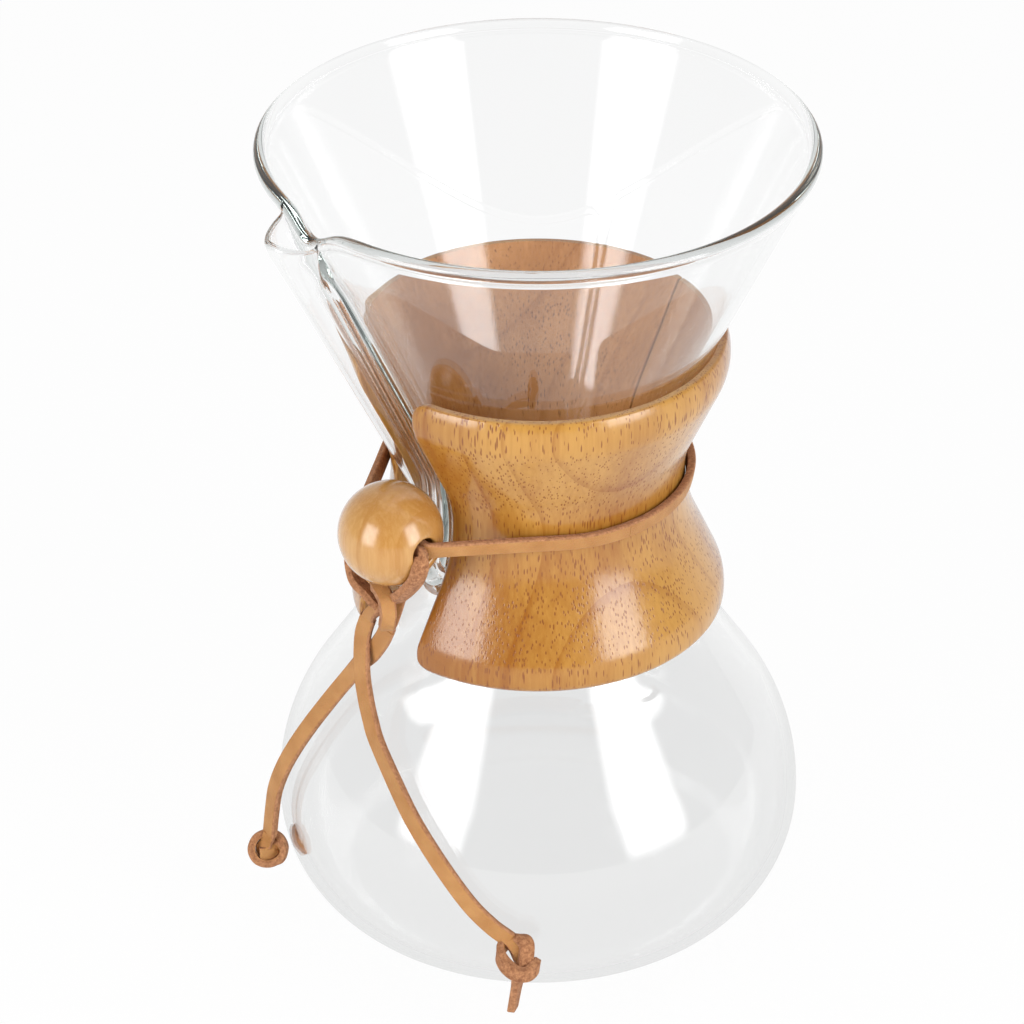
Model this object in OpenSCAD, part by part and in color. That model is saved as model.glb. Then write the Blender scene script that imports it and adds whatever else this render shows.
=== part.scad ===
// Pour-over coffee maker: an hourglass carafe of clear glass with a pouring tube,
// dressed with a split wooden collar that a leather tie and a wooden bead hold on.
// Millimetres, +Z up. The origin is the centre of the base, and the pouring tube faces -Y.

/* [Glass carafe] */
// Overall height
height = 216; // [200:1:232]
// Outer diameter of the rim
rim_d = 136; // [130:1:142]
// Thickness of the fire-polished rim
rim_t = 3.4; // [3:0.1:4]
// Wall of the carafe
wall = 2.6; // [2.2:0.1:2.9]
// Slope of the funnel from the vertical
funnel_angle = 25; // [24:0.25:26]
// Outer radius of the neck where it is narrowest
neck_r = 28.5; // [27.5:0.25:29.5]
// Outer diameter of the bulb
bulb_d = 136; // [130:1:142]
// Height of the widest level of the bulb
bulb_z = 28; // [25:1:31]
// Radius of the flat base
base_r = 44; // [40:1:48]
// Radius of the round from the bulb to its shoulder
shoulder_round = 55; // [52:1:58]
// Slope of the shoulder from the vertical
shoulder_angle = 33.5; // [32.5:0.25:34.5]

/* [Pouring tube] */
// Radius of the tube just below its mouth
tube_top_r = 5.2; // [4.8:0.1:5.6]
// Radius of the tube at its elbow
tube_low_r = 3.4; // [3.1:0.1:3.7]
// Radius of the tube at its upright foot
tube_foot_r = 3.8; // [3.5:0.1:4.2]
// Wall of the tube
tube_wall = 1.4; // [1.2:0.1:1.6]
// Distance from the funnel's outside to the tube's axis
tube_standoff = 4.4; // [4.2:0.1:4.7]
// Distance from the neck's outside to the axis of the tube's foot
foot_standoff = 5.6; // [5.2:0.1:6]
// Thickness of the glass web that joins the tube to the funnel
web_t = 4; // [3:0.25:5]
// Depth of the flared mouth below the rim
mouth_depth = 18; // [14:1:22]
// Width of the mouth along the rim
mouth_w = 16; // [14:0.5:19]
// Radius of the mouth's corners
mouth_corner_r = 2.2; // [1.9:0.1:2.6]

/* [Wooden collar] */
// Height of the collar's top edge
collar_top = 164; // [162:0.5:166]
// Height of the collar's bottom edge
collar_bottom = 87; // [85:0.5:88.5]
// Outer radius of both lips
collar_lip_r = 47.5; // [46.5:0.25:48.5]
// Radius of the round behind each lip
lip_round = 14; // [12:0.5:16]
// Height of the waist
waist_z = 126.4; // [125.4:0.2:127.4]
// Outer radius of the waist
waist_r = 36.9; // [35.9:0.2:37.9]
// Radius of the hollow above the waist
upper_hollow = 26; // [24:0.5:28]
// Slope of the straight flare above the waist, from the vertical
upper_angle = 24; // [23:0.25:25.5]
// Radius of the hollow below the waist
lower_hollow = 44; // [42:0.5:46]
// Slope of the straight flare below the waist, from the vertical
lower_angle = 24.5; // [23.5:0.25:26]
// Radius of the bottom edge
bottom_edge = 2.5; // [1.5:0.25:3]
// Radius of the top edge
top_edge = 0.8; // [0.4:0.1:1]
// Gap between the halves at the pouring tube
front_gap = 24; // [22:0.5:27]
// Saw cut between the halves at the back
back_gap = 0.6; // [0.4:0.1:2]
// Radius of the halves' corners beside the pouring tube
corner_round = 4; // [2:0.5:5]

/* [Bead and tie] */
// Diameter of the bead
bead_d = 26; // [25:0.5:27]
// Diameter of the bead's bore
bead_bore = 7; // [6.8:0.2:8]
// Depth of the round-over at each mouth of the bore
bead_mouth = 1; // [0.6:0.1:1.4]
// Turn of the bead round the carafe, away from the pouring tube
bead_turn = 9.2; // [8:0.2:11]
// Width of the leather strip
tie_w = 5; // [4.6:0.1:5.2]
// Thickness of the leather strip
tie_t = 2; // [1.6:0.1:2.2]
// Diameter of the half knot below the bead
knot_d = 10; // [8:0.5:11]
// Diameter of the knots at the ends of the tails
end_knot_d = 10; // [8.5:0.5:10]
// Height of the knots at the ends of the tails
end_knot_h = 11; // [9:0.5:12]

/* [Clearances] */
// Clearance between the wood and the glass
glass_fit = 0.4; // [0.3:0.1:0.8]
// Clearance between the tie and the wood, and between the bead and the glass
tie_fit = 0.4; // [0.3:0.1:0.8]

/* [Hidden] */
$fn = 96;
arc_steps = 16;

// Points of an arc about [r, z]
function arc(centre, radius, from, to, steps = arc_steps) =
    [for (i = [0:steps])
        let (a = from + (to - from) * i / steps)
        centre + radius * [cos(a), sin(a)]];

// Glass: the funnel and the shoulder are straight, and one arc through the neck joins them
rim_r = rim_d / 2;
bulb_r = bulb_d / 2;
rim_centre = [rim_r - rim_t / 2, height - rim_t / 2];
shoulder_centre = [bulb_r - shoulder_round, bulb_z];
funnel_offset = rim_centre.x * cos(funnel_angle) - rim_centre.y * sin(funnel_angle) + wall / 2;
shoulder_offset = shoulder_centre.x * cos(shoulder_angle) + shoulder_centre.y * sin(shoulder_angle)
    + shoulder_round;
slope_ratio = sin(shoulder_angle) / sin(funnel_angle);
slope_sum = cos(shoulder_angle) + slope_ratio * cos(funnel_angle);
neck_round = (shoulder_offset + slope_ratio * funnel_offset - neck_r * slope_sum)
    / (slope_sum - slope_ratio - 1);
neck_centre = [
    neck_r + neck_round,
    ((neck_r + neck_round) * cos(funnel_angle) - funnel_offset - neck_round) / sin(funnel_angle)
];
// Radius of the funnel's outside, moved out by d, at height z
function funnel_r(z, d = 0) = (funnel_offset + d + z * sin(funnel_angle)) / cos(funnel_angle);
// Height at which the shoulder's outside has radius r
function shoulder_z(r) = (shoulder_offset - r * cos(shoulder_angle)) / sin(shoulder_angle);
// Outline of the glass from the base to height top, moved outwards by d
function glass_line(d, top) = concat(
    [for (i = [0:arc_steps])
        let (a = -90 + 90 * i / arc_steps)
        [base_r + (bulb_r - base_r + d) * cos(a), bulb_z + (bulb_z + d) * sin(a)]],
    arc(shoulder_centre, shoulder_round + d, 0, shoulder_angle),
    arc(neck_centre, neck_round - d, 180 + shoulder_angle, 180 - funnel_angle),
    [[funnel_r(top, d), top]]
);

// Pouring tube: an upright foot beside the neck, an elbow, and a slope along the funnel
foot_r = neck_r + foot_standoff;
foot_z = shoulder_z(foot_r + tube_foot_r);
elbow_z = (foot_r * cos(funnel_angle) - funnel_offset - tube_standoff) / sin(funnel_angle);
mouth_z = height - mouth_depth;
slope_l = (mouth_z - elbow_z) / cos(funnel_angle);
mouth_tip = funnel_r(height, tube_standoff + tube_top_r);
mouth_corner_x = mouth_w / 2 - mouth_corner_r;
mouth_corner_y = sqrt(pow(rim_centre.x, 2) - pow(mouth_corner_x, 2));
bore_end_z = foot_z - 2 * wall;
mouth_seat = 0.5;
mouth_step = 0.2;
mouth_sides = 32;

// Collar: a hollow, a straight flare and the round behind a lip, above and below the waist
lip_centre_r = collar_lip_r - lip_round;
upper_centre = [waist_r + upper_hollow, waist_z];
lower_centre = [waist_r + lower_hollow, waist_z];
// Height from the waist to the centre of a lip's round, for a hollow and the slope of its flare
function lip_height(hollow, angle) =
    let (flare = (lip_centre_r - waist_r - hollow + (lip_round + hollow) * cos(angle)) / sin(angle))
    (hollow + lip_round) * sin(angle) + flare * cos(angle);
upper_lip_z = waist_z + lip_height(upper_hollow, upper_angle);
lower_lip_z = waist_z - lip_height(lower_hollow, lower_angle);
bottom_round = min(bottom_edge, lower_lip_z - collar_bottom);
top_round = min(top_edge, collar_top - upper_lip_z);
top_turn = asin((collar_top - top_round - upper_lip_z) / (lip_round - top_round));
top_round_r = lip_centre_r + (lip_round - top_round) * cos(top_turn);

// Bead: it rests against the tube, at its foot or its slope, with its bore level and along the collar
bead_r = bead_d / 2;
bead_seat = bead_r + tube_foot_r + tie_fit;
foot_reach = foot_r * cos(bead_turn) + sqrt(pow(bead_seat, 2) - pow(foot_r * sin(bead_turn), 2));
slope_line = foot_r * cos(funnel_angle) + (waist_z - elbow_z) * sin(funnel_angle);
slope_span = pow(cos(funnel_angle), 2) + pow(tan(bead_turn), 2);
slope_drop = pow(cos(funnel_angle) * slope_line, 2) - slope_span * (pow(slope_line, 2) - pow(bead_seat, 2));
slope_reach = (cos(funnel_angle) * slope_line + sqrt(max(0, slope_drop))) / slope_span / cos(bead_turn);
bead_dist = max(foot_reach, slope_reach);
bore_half = sqrt(pow(bead_r, 2) - pow(bead_bore / 2, 2));
// Position in the carafe's frame of a point in the bead's: along the bore, outwards, up
function from_bead(p) = [
    (bead_dist + p.y) * sin(bead_turn) + p.x * cos(bead_turn),
    -(bead_dist + p.y) * cos(bead_turn) + p.x * sin(bead_turn),
    waist_z + p.z
];
function turn_bead(v) = [
    v.y * sin(bead_turn) + v.x * cos(bead_turn),
    -v.y * cos(bead_turn) + v.x * sin(bead_turn),
    v.z
];

// Tie: the strip lies flat on the waist, and its two strands leave the bead upright, side by side
tie_r = waist_r + tie_fit + tie_t / 2;
strand_gap = 0.3;
strand_lift = tie_t / 2 + strand_gap / 2;
strand_start = bore_half + strand_gap;
strand_end = bore_half - strand_gap;
bore_steps = 4;
waist_steps = 4;
function unit(v) = v / norm(v);
function turn_of(p) = atan2(p.x, -p.y);
function on_waist(turn) = [tie_r * sin(turn), -tie_r * cos(turn), waist_z];
// Free strand from the bead to the waist, then along the waist to a quarter turn
function strand_path(start, side) =
    let (reach = norm([start.x, start.y]))
    let (touch = turn_of(start) + side * acos(tie_r / reach))
    concat(
        [start],
        [for (i = [0:waist_steps]) on_waist(touch + (side * 90 - touch) * i / waist_steps)]
    );
function faces_out(path) = [for (p = path) unit([p.x, p.y, 0])];

// Strands in the bead's frame: they roll half a turn about each other in the bore,
// and their ends drop from its mouths to the half knot
function bore_turn(i) = 180 * i / bore_steps - 90;
function bore_strand(side) =
    [for (i = [0:bore_steps])
        [side * strand_end * (1 - 2 * i / bore_steps),
         strand_lift * sin(bore_turn(i)),
         side * strand_lift * cos(bore_turn(i))]];
function bore_faces(side) =
    [for (i = [0:bore_steps]) [0, sin(bore_turn(i)), side * cos(bore_turn(i))]];
left_drop = [[-14.6, 2, -1.2], [-15.4, 2.2, -4.8], [-15.2, 2.2, -9], [-13.5, 2.6, -13.2],
    [-9.8, 3, -16.8], [-6.4, 2.9, -18.8], [-4.4, 2.2, -21]];
left_drop_faces = [[-2, 2, 1], [-2, 1, 0], [-1, 0.3, 0], [-2, 0.4, -1],
    [-1, 0.3, -1], [-1, 0.3, -2], [-1, 0.3, -1]];
right_drop = [[14, 1.7, -1], [14.9, 2.4, -3.8], [13.4, 3, -7.8], [8.6, 3, -12.8],
    [3.7, 2.4, -16.6], [-1.2, 1.6, -20.6]];
right_drop_faces = [[1, 2, 1], [2, 1, 0], [2, 0.6, -1], [1, 0.4, -1],
    [1, 0.4, -1], [1, 0.4, -1]];
knot_place = [-3.5, 1.4, -23.5];
knot_sides = 20;

// Routes of the tails, from the half knot over the bulb to the end knots
tail_front_route = [[1, -52, 99], [0, -53, 94], [0, -53.6, 88], [0.6, -54, 82], [2.6, -54.4, 76],
    [5.4, -55, 71.6], [9, -55.6, 67.4], [18.5, -57, 61.8], [28.2, -57.6, 55.2], [37.3, -56.1, 47.2],
    [45, -52.8, 38.2], [50, -49.4, 32.6], [54, -46.4, 29.4]];
tail_side_route = [[7.6, -50.6, 99], [5.9, -50.6, 95.6], [3.6, -50.6, 92], [0.8, -50.8, 88],
    [-2.4, -51, 84.4], [-5.6, -51.3, 80.4], [-8.8, -52.1, 75.6], [-11.6, -53.6, 70.8],
    [-14.2, -55.8, 65.5], [-16.5, -59.5, 59.1], [-18.6, -63, 52.4], [-21, -65.3, 45.4],
    [-23.2, -66.6, 38], [-24.1, -67.3, 31], [-24.3, -68.2, 23.6]];
front_knot_at = [57.4, -46.2, 25.8];
side_knot_at = [-24.4, -68.9, 19];
front_stub = [[57.4, -46.2, 25.8], [56.8, -46.4, 17.5], [55.2, -47, 8.6]];
side_stub = [[-24.4, -68.9, 19], [-25.2, -73, 18.4], [-25.6, -75, 18]];

// One ring of the strip: a flat section with bevelled corners
function strip_ring(at, along, face) =
    let (n = unit(face - (face * along) * along))
    let (w = cross(along, n))
    let (bevel = tie_t / 4)
    let (a = tie_w / 2)
    let (b = tie_t / 2)
    [for (p = [[a, b - bevel], [a - bevel, b], [bevel - a, b], [-a, b - bevel],
               [-a, bevel - b], [bevel - a, -b], [a - bevel, -b], [a, bevel - b]])
        at + p.x * w + p.y * n];
function along_at(path, i) =
    unit(path[min(i + 1, len(path) - 1)] - path[max(i - 1, 0)]);

// A leather strip along a path: faces give the way its flat side looks at each point
module strip(path, faces) {
    rings = [for (i = [0:len(path) - 1]) strip_ring(path[i], along_at(path, i), faces[i])];
    sides = len(rings[0]);
    last = (len(rings) - 1) * sides;
    polyhedron(
        points = [for (ring = rings, p = ring) p],
        faces = concat(
            [for (k = [1:sides - 2]) [0, k + 1, k]],
            [for (k = [1:sides - 2]) [last, last + k, last + k + 1]],
            [for (i = [0:len(rings) - 2], k = [0:sides - 1])
                [i * sides + k, i * sides + (k + 1) % sides, (i + 1) * sides + (k + 1) % sides]],
            [for (i = [0:len(rings) - 2], k = [0:sides - 1])
                [i * sides + k, (i + 1) * sides + (k + 1) % sides, (i + 1) * sides + k]]
        )
    );
}

// Solid of revolution inside the glass outline moved outwards by d
module glass_solid(d, top) {
    line = glass_line(d, top);
    rotate_extrude()
        polygon(concat([[0, line[0].y]], line, [[0, top]]));
}

// The tube's solid, thinned by inset for its bore
module tube_solid(inset) {
    translate([0, -foot_r, 0]) {
        translate([0, 0, foot_z])
            cylinder(h = elbow_z - foot_z, r1 = tube_foot_r - inset, r2 = tube_low_r - inset);
        translate([0, 0, elbow_z]) {
            sphere(r = tube_low_r - inset);
            rotate([funnel_angle, 0, 0])
                cylinder(h = slope_l, r1 = tube_low_r - inset, r2 = tube_top_r - inset);
        }
    }
}

// The flared mouth, from the tube's round end to a three-cornered lip at the rim
module mouth_solid(inset, rise) {
    hull() {
        translate([0, -foot_r, elbow_z])
            rotate([funnel_angle, 0, 0])
                translate([0, 0, slope_l - mouth_seat - inset])
                    cylinder(h = mouth_seat, r = tube_top_r - inset + mouth_step, $fn = mouth_sides);
        for (p = [[-mouth_corner_x, -mouth_corner_y], [mouth_corner_x, -mouth_corner_y],
                  [0, mouth_corner_r - mouth_tip]])
            translate([p.x, p.y, height - rim_t])
                cylinder(h = rim_t + rise, r = mouth_corner_r - inset, $fn = mouth_sides);
    }
}

// The web that fills the crease between the tube and the carafe
module tube_web() {
    inner = [for (p = glass_line(-wall / 2, height)) if (p.y > foot_z && p.y < mouth_z) [-p.x, p.y]];
    rotate([90, 0, 90])
        linear_extrude(web_t, center = true)
            polygon(concat(
                [[-funnel_r(mouth_z, tube_standoff), mouth_z], [-foot_r, elbow_z], [-foot_r, foot_z]],
                inner,
                [[-funnel_r(mouth_z, -wall / 2), mouth_z]]
            ));
}

module glass_carafe() {
    color([0.86, 0.92, 0.9, 0.45]) {
        difference() {
            union() {
                glass_solid(0, rim_centre.y);
                tube_solid(0);
                mouth_solid(0, 0);
                tube_web();
            }
            glass_solid(-wall, height + wall);
            translate([0, -foot_r, bore_end_z])
                cylinder(h = elbow_z - bore_end_z, r = tube_low_r - tube_wall);
            difference() {
                union() {
                    tube_solid(tube_wall);
                    mouth_solid(tube_wall, wall);
                }
                glass_solid(0, height + 2 * wall);
            }
        }
        rotate_extrude()
            translate(rim_centre)
                circle(d = rim_t);
    }
}

module collar_ring() {
    difference() {
        rotate_extrude()
            polygon(concat(
                [[0, collar_bottom]],
                arc([collar_lip_r - bottom_round, collar_bottom + bottom_round], bottom_round, -90, 0),
                arc([lip_centre_r, lower_lip_z], lip_round, 0, lower_angle),
                arc(lower_centre, lower_hollow, 180 + lower_angle, 180),
                arc(upper_centre, upper_hollow, 180, 180 - upper_angle),
                arc([lip_centre_r, upper_lip_z], lip_round, -upper_angle, top_turn),
                arc([top_round_r, collar_top - top_round], top_round, top_turn, 90),
                [[0, collar_top]]
            ));
        glass_solid(glass_fit, height);
    }
}

// What the corner of a half loses to its round, at height z, on the side that dir points to
module corner_cut(z, dir) {
    rotate([90, 0, 0])
        linear_extrude(2 * collar_lip_r)
            translate([front_gap / 2, z])
                mirror([0, dir < 0 ? 1 : 0])
                    difference() {
                        translate([-1, -1])
                            square(corner_round + 1);
                        translate([corner_round, corner_round])
                            circle(r = corner_round);
                    }
}

module collar_half() {
    reach = 2 * collar_lip_r;
    difference() {
        collar_ring();
        translate([-reach, -reach, 0])
            cube([reach + back_gap / 2, 2 * reach, height]);
        translate([-reach, -reach, 0])
            cube([reach + front_gap / 2, reach, height]);
        corner_cut(collar_bottom, 1);
        corner_cut(collar_top, -1);
    }
}

module collar_right() {
    color([0.78, 0.58, 0.32])
        collar_half();
}

module collar_left() {
    color([0.76, 0.56, 0.3])
        mirror([1, 0, 0])
            collar_half();
}

module bead() {
    color([0.8, 0.6, 0.34])
        translate(from_bead([0, 0, 0]))
            rotate([0, 0, bead_turn])
                rotate([0, 90, 0])
                    rotate_extrude()
                        difference() {
                            circle(d = bead_d);
                            translate([-bead_d, -bead_d])
                                square([bead_d + bead_bore / 2, 2 * bead_d]);
                            for (end = [-1, 1])
                                translate([bead_bore / 2, end * bore_half])
                                    rotate(45)
                                        square(bead_mouth * sqrt(2), center = true);
                        }
}

// The strand between the bead and the side of the waist
module tie_front(side) {
    color([0.75, 0.52, 0.32]) {
        path = strand_path(from_bead([side * strand_start, -strand_lift, 0]), side);
        strip(path, faces_out(path));
    }
}

// A quarter turn of the strip, from the side of the waist to the back
module tie_back(from) {
    color([0.74, 0.51, 0.31])
        rotate([0, 0, from])
            rotate_extrude(angle = 90)
                translate([tie_r - tie_t / 2, waist_z - tie_w / 2])
                    square([tie_t, tie_w]);
}

module tie_front_right() {
    tie_front(1);
}

module tie_back_right() {
    tie_back(0);
}

module tie_back_left() {
    tie_back(90);
}

module tie_front_left() {
    tie_front(-1);
}

// One strand through the bead, and its end down to the half knot
module end_strand(side, drop, drop_faces) {
    strip([for (p = concat(bore_strand(side), drop)) from_bead(p)],
          [for (v = concat(bore_faces(side), drop_faces)) turn_bead(v)]);
}

module tie_knot() {
    color([0.72, 0.49, 0.3]) {
        end_strand(1, left_drop, left_drop_faces);
        end_strand(-1, right_drop, right_drop_faces);
        translate(from_bead(knot_place))
            hull()
                sphere(d = knot_d, $fn = knot_sides);
    }
}

module tail(route) {
    color([0.76, 0.53, 0.33])
        strip(route, faces_out(route));
}

module tail_front() {
    tail(tail_front_route);
}

module tail_side() {
    tail(tail_side_route);
}

// An end knot: two turns of the strip drawn tight, with the cut end left showing
module end_knot(at, stub, face) {
    turn_r = 0.275 * end_knot_h;
    core_r = end_knot_d / 2 - turn_r;
    core_h = 0.95 * end_knot_h;
    color([0.7, 0.47, 0.29]) {
        translate(at)
            rotate_extrude()
                intersection() {
                    union() {
                        for (side = [-1, 1])
                            translate([core_r, side * (end_knot_h / 2 - turn_r)])
                                circle(r = turn_r);
                        square([2 * core_r, core_h], center = true);
                    }
                    translate([0, -end_knot_h])
                        square([end_knot_d, 2 * end_knot_h]);
                }
        strip(stub, [for (p = stub) face]);
    }
}

module end_knot_front() {
    end_knot(front_knot_at, front_stub, unit([1, -1, 0]));
}

module end_knot_side() {
    end_knot(side_knot_at, side_stub, [0, 0, 1]);
}

glass_carafe();
collar_right();
collar_left();
bead();
tie_front_right();
tie_back_right();
tie_back_left();
tie_front_left();
tie_knot();
tail_front();
tail_side();
end_knot_front();
end_knot_side();
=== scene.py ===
# %% [markdown]
# # A pour-over coffee maker
# An hourglass carafe of clear glass stands on its own bulb. A wooden collar in two halves hugs
# its neck, and a leather strip runs round the waist, through a wooden bead and into a knot.
# The engineering model gives every size and place, so this lesson only makes the looks.

# %% Load the engineering model
import math

import bmesh
import bpy
import numpy as np
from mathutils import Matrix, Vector


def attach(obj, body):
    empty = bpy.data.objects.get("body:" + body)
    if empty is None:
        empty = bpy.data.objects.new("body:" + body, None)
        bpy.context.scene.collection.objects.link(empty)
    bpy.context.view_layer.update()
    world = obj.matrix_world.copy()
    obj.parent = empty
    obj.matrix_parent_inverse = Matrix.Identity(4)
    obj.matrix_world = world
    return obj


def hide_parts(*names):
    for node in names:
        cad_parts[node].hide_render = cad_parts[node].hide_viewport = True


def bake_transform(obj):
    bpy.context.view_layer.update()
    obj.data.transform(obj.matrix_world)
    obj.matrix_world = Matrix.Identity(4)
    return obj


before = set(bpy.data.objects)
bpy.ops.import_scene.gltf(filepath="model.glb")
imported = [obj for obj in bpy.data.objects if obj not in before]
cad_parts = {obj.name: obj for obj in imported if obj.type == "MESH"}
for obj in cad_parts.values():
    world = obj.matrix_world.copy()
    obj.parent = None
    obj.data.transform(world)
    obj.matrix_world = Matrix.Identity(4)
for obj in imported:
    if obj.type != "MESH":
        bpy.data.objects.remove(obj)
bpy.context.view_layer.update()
MM = 0.001

# %% [markdown]
# ## The camera
# The picture is taken from above and a little to the right of the pouring tube. A long lens a
# metre away keeps the outlines nearly parallel, and a small sideways shift frames the carafe.

# %% Camera
CAMERA_TURN = math.radians(55)
CAMERA_RISE = math.radians(32.27)
CAMERA_AIM = Vector((0, 0, 0.1104))
CAMERA_REACH = 1.0
IMAGE_PX, FOCAL_PX, SHIFT_PX, SENSOR = 1024, 3955, -26, 36
towards_camera = Vector((
    math.sin(CAMERA_TURN) * math.cos(CAMERA_RISE),
    -math.cos(CAMERA_TURN) * math.cos(CAMERA_RISE),
    math.sin(CAMERA_RISE),
))
camera = bpy.data.objects.new("camera", bpy.data.cameras.new("camera"))
bpy.context.scene.collection.objects.link(camera)
camera.location = CAMERA_AIM + CAMERA_REACH * towards_camera
camera.rotation_euler = towards_camera.to_track_quat("Z", "Y").to_euler()
camera.data.sensor_width = SENSOR
camera.data.lens = SENSOR * FOCAL_PX / IMAGE_PX
camera.data.shift_x = SHIFT_PX / IMAGE_PX
bpy.context.scene.camera = camera
bpy.context.scene.view_settings.view_transform = "Standard"
bounces = bpy.context.scene.cycles
bounces.max_bounces = 20
bounces.glossy_bounces = 12
bounces.transmission_bounces = 20
bounces.transparent_max_bounces = 20
print("camera at", [round(x, 3) for x in camera.location])

# %% [markdown]
# ## Helpers for meshes
# Nearly every piece here is a row of rings joined by quads: a revolved wall, a strip along a
# path, a turned bead. One helper turns an array of points into such a mesh.

# %% Mesh helpers
def add_mesh(name, points, faces, smooth=True):
    mesh = bpy.data.meshes.new(name)
    mesh.from_pydata([tuple(p) for p in points], [], [tuple(f) for f in faces])
    mesh.validate()
    if smooth:
        mesh.shade_smooth()
    piece = bpy.data.objects.new(name, mesh)
    bpy.context.scene.collection.objects.link(piece)
    return piece


def quad_faces(rows, columns, closed_rows=False):
    """Quads between rings of points, each ring closed on itself"""
    faces = []
    for i in range(rows if closed_rows else rows - 1):
        a, b = i * columns, (i + 1) % rows * columns
        for k in range(columns):
            n = (k + 1) % columns
            faces.append((a + k, a + n, b + n, b + k))
    return faces


def face_outwards(piece):
    bm = bmesh.new()
    bm.from_mesh(piece.data)
    bmesh.ops.recalc_face_normals(bm, faces=bm.faces)
    bm.to_mesh(piece.data)
    bm.free()


def smoothstep(low, high, x):
    t = np.clip((np.asarray(x, float) - low) / (high - low), 0, 1)
    return t * t * (3 - 2 * t)


def smooth_line(points, step):
    """A smooth curve through points of any number of columns, sampled about every step"""
    p = np.array(points, float)
    p = np.vstack([2 * p[0] - p[1], p, 2 * p[-1] - p[-2]])
    line = []
    for i in range(1, len(p) - 2):
        count = max(2, int(np.linalg.norm((p[i + 1] - p[i])[:3]) / step))
        for t in np.arange(count) / count:
            line.append(0.5 * (
                2 * p[i] + (p[i + 1] - p[i - 1]) * t
                + (2 * p[i - 1] - 5 * p[i] + 4 * p[i + 1] - p[i + 2]) * t * t
                + (3 * p[i] - p[i - 1] - 3 * p[i + 1] + p[i + 2]) * t ** 3
            ))
    line.append(p[-2])
    return np.array(line)


def cols(*parts):
    """Numbers side by side, one column each"""
    return np.column_stack(parts)


def unit_rows(v):
    """The rows of v, each made one long"""
    return v / np.linalg.norm(v, axis=1)[:, None]


print("helpers ready")

# %% [markdown]
# ## The leather strip
# The tie is one strip cut from tan leather, 5 mm wide and 2 mm thick, with a smooth face, a
# suede back and raw edges. Its section is a rounded bar, swept along a path that also says
# which way the smooth face looks. The map across the strip tells the finish which side it is on.
# Round the waist and in the knots the strip is pulled tight, so it is drawn a little narrower there.

# %% Strip along a path
STRIP_W, STRIP_T = 5 * MM, 2 * MM
EDGE_ROUND, CROWN, CREASE = 0.28, 0.05, math.radians(65)


def strip_section(width, thick):
    """Points (across, up, map) round the strip: smooth face, edge, suede face, edge"""
    a, b = width / 2, thick / 2
    e = thick * EDGE_ROUND
    face = [(x * (a - e), b * (1 + CROWN * (1 - x * x))) for x in np.linspace(1, -1, 7)]
    edge = [(-a + e - e * math.sin(t), b - e + e * math.cos(t)) for t in np.radians((30, 60, 90))]
    half = face + edge
    ring = half + [(-x, -y) for x, y in half]
    return [(x, y, k / len(ring)) for k, (x, y) in enumerate(ring)]


def make_strip(name, points, looks, width=STRIP_W, thick=STRIP_T, step=0.7 * MM):
    """A strip along points, whose smooth face looks along looks"""
    rows = smooth_line(np.hstack([np.array(points, float), unit_rows(np.array(looks, float))]), step)
    path, look = rows[:, :3], rows[:, 3:]
    along = unit_rows(np.gradient(path, axis=0))
    normal = unit_rows(look - np.sum(look * along, axis=1)[:, None] * along)
    across = np.cross(along, normal)
    section = strip_section(width, thick)
    n = len(section)
    rings = np.stack([path + x * across + y * normal for x, y, u in section], axis=1)
    caps = [list(range(n))[::-1], [(len(path) - 1) * n + k for k in range(n)]]
    piece = add_mesh(name, rings.reshape(-1, 3), quad_faces(len(path), n) + caps)
    run = np.concatenate([[0], np.cumsum(np.linalg.norm(np.diff(path, axis=0), axis=1))])
    chart = piece.data.uv_layers.new(name="strip")
    for poly in piece.data.polygons:
        ks = [v % n for v in poly.vertices]
        wraps = max(ks) - min(ks) > n / 2
        for loop, v in zip(poly.loop_indices, poly.vertices):
            k = v % n
            u = section[k][2] + (1 if wraps and k < n / 2 else 0)
            chart.data[loop].uv = (u, run[v // n])
    face_outwards(piece)
    piece.data.set_sharp_from_angle(angle=CREASE)
    piece["length_m"] = float(run[-1])
    return piece


print("strip section has", len(strip_section(STRIP_W, STRIP_T)), "points")

# %% [markdown]
# ## Leather finish
# The smooth face is a warm tan with fine grain. The edges and the back are suede: redder, darker
# and rough, with short fibres. The map across the strip mixes the two.

# %% Leather material
def feed(tree, socket, value):
    """Link a socket to another one, or give it a plain number, vector or colour"""
    if isinstance(value, bpy.types.NodeSocket):
        tree.links.new(value, socket)
    else:
        socket.default_value = (*value, 1) if socket.type == "RGBA" else value


def set_inputs(tree, node, values):
    for key, value in values.items():
        feed(tree, node.inputs[key], value)


def add_node(tree, kind, **values):
    """A node of that kind, with its inputs fed and its other settings set"""
    node = tree.nodes.new("ShaderNode" + kind)
    for key, value in values.items():
        if key in node.inputs:
            feed(tree, node.inputs[key], value)
        else:
            setattr(node, key, value)
    return node


def start_material(name):
    material = bpy.data.materials.new(name)
    material.use_nodes = True
    tree = material.node_tree
    tree.nodes.clear()
    shader = add_node(tree, "BsdfPrincipled")
    output = add_node(tree, "OutputMaterial", Surface=shader.outputs[0])
    return material, tree, shader, output


def ramp(tree, source, stops):
    """A colour ramp, whose stops are a place and a grey or a colour"""
    node = add_node(tree, "ValToRGB")
    elements = node.color_ramp.elements
    while len(elements) < len(stops):
        elements.new(0.5)
    for element, (position, shade) in zip(elements, stops):
        element.position = position
        element.color = (*shade, 1) if isinstance(shade, tuple) else (shade, shade, shade, 1)
    tree.links.new(source, node.inputs[0])
    return node.outputs[0]


MIX_FACTOR, MIX_A, MIX_B, MIX_RESULT = 0, 6, 7, 2


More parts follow.
